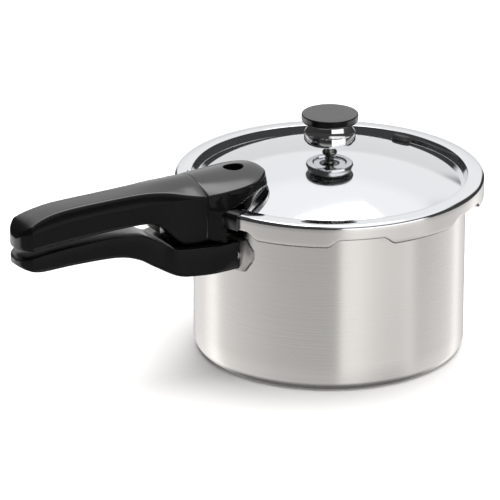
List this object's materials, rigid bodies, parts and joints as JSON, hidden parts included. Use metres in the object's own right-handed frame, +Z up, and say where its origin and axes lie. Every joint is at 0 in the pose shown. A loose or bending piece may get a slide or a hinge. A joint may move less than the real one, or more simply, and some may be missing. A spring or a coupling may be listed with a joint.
{
  "type": "pressure cooker",
  "caption": "Stovetop pressure cooker: straight-sided metal pot, twist-on domed cover with a rocking weight on a central vent pipe, and two long stacked black handles.",
  "frame": {"origin": "centre of the pot's flat underside", "axes": "+Z up along the pot's axis; both handles point along -X"},
  "size_m": [0.382, 0.23, 0.1805],
  "materials": {
    "satin_aluminium": "satin, brushed round the wall",
    "polished_aluminium": "polished to a mirror on the dome and ring",
    "rack_aluminium": "plain rolled sheet",
    "bracket_metal": "bright pressed metal",
    "black_phenolic": "moulded, soft gloss",
    "regulator_black": "moulded, glossy",
    "black_rubber": "matt",
    "plated_steel": "zinc plated",
    "stainless_steel": "bright stamped",
    "bright_chrome": "mirror chrome"
  },
  "bodies": {
    "pot": {"pot_body": "satin_aluminium", "pot_handle_bracket": "bracket_metal", "pot_bracket_rivets": "bracket_metal", "pot_handle": "black_phenolic", "pot_handle_washer": "plated_steel", "pot_handle_screw": "plated_steel", "locking_bracket": "stainless_steel", "locking_bracket_rivets": "stainless_steel"},
    "rack": {"cooking_rack": "rack_aluminium"},
    "cover": {"cover_shell": "polished_aluminium", "sealing_ring": "black_rubber", "vent_pipe": "plated_steel", "vent_pipe_nut": "plated_steel", "vent_pipe_washer": "plated_steel", "overpressure_plug": "black_rubber", "cover_handle_bracket": "bracket_metal", "cover_bracket_rivets": "bracket_metal", "cover_handle_base": "black_phenolic", "cover_handle_front": "black_phenolic", "cover_handle_grip": "black_phenolic", "cover_handle_screws": "plated_steel", "cover_lock_gasket": "black_rubber"},
    "cover_lock": {"cover_lock_pin": "stainless_steel", "cover_lock_foot": "stainless_steel"},
    "regulator": {"regulator_cap": "regulator_black", "regulator_weight": "bright_chrome", "regulator_needle": "stainless_steel", "regulator_clip": "stainless_steel"}
  },
  "joints": [
    {"name": "cover_turn", "type": "hinge", "parent": "pot", "child": "cover", "pos_m": [0, 0, 0.13], "axis": [0, 0, 1], "range_deg": [0, 25.7]},
    {"name": "cover_lock_rise", "type": "slide", "parent": "cover", "child": "cover_lock", "axis": [0, 0, 1], "range_m": [0, 0.0035]},
    {"name": "regulator_lift", "type": "slide", "parent": "cover", "child": "regulator", "axis": [0, 0, 1], "range_m": [0, 0.04]},
    {"name": "rack_lift", "type": "slide", "parent": "pot", "child": "rack", "axis": [0, 0, 1], "range_m": [0, 0.085]}
  ]
}
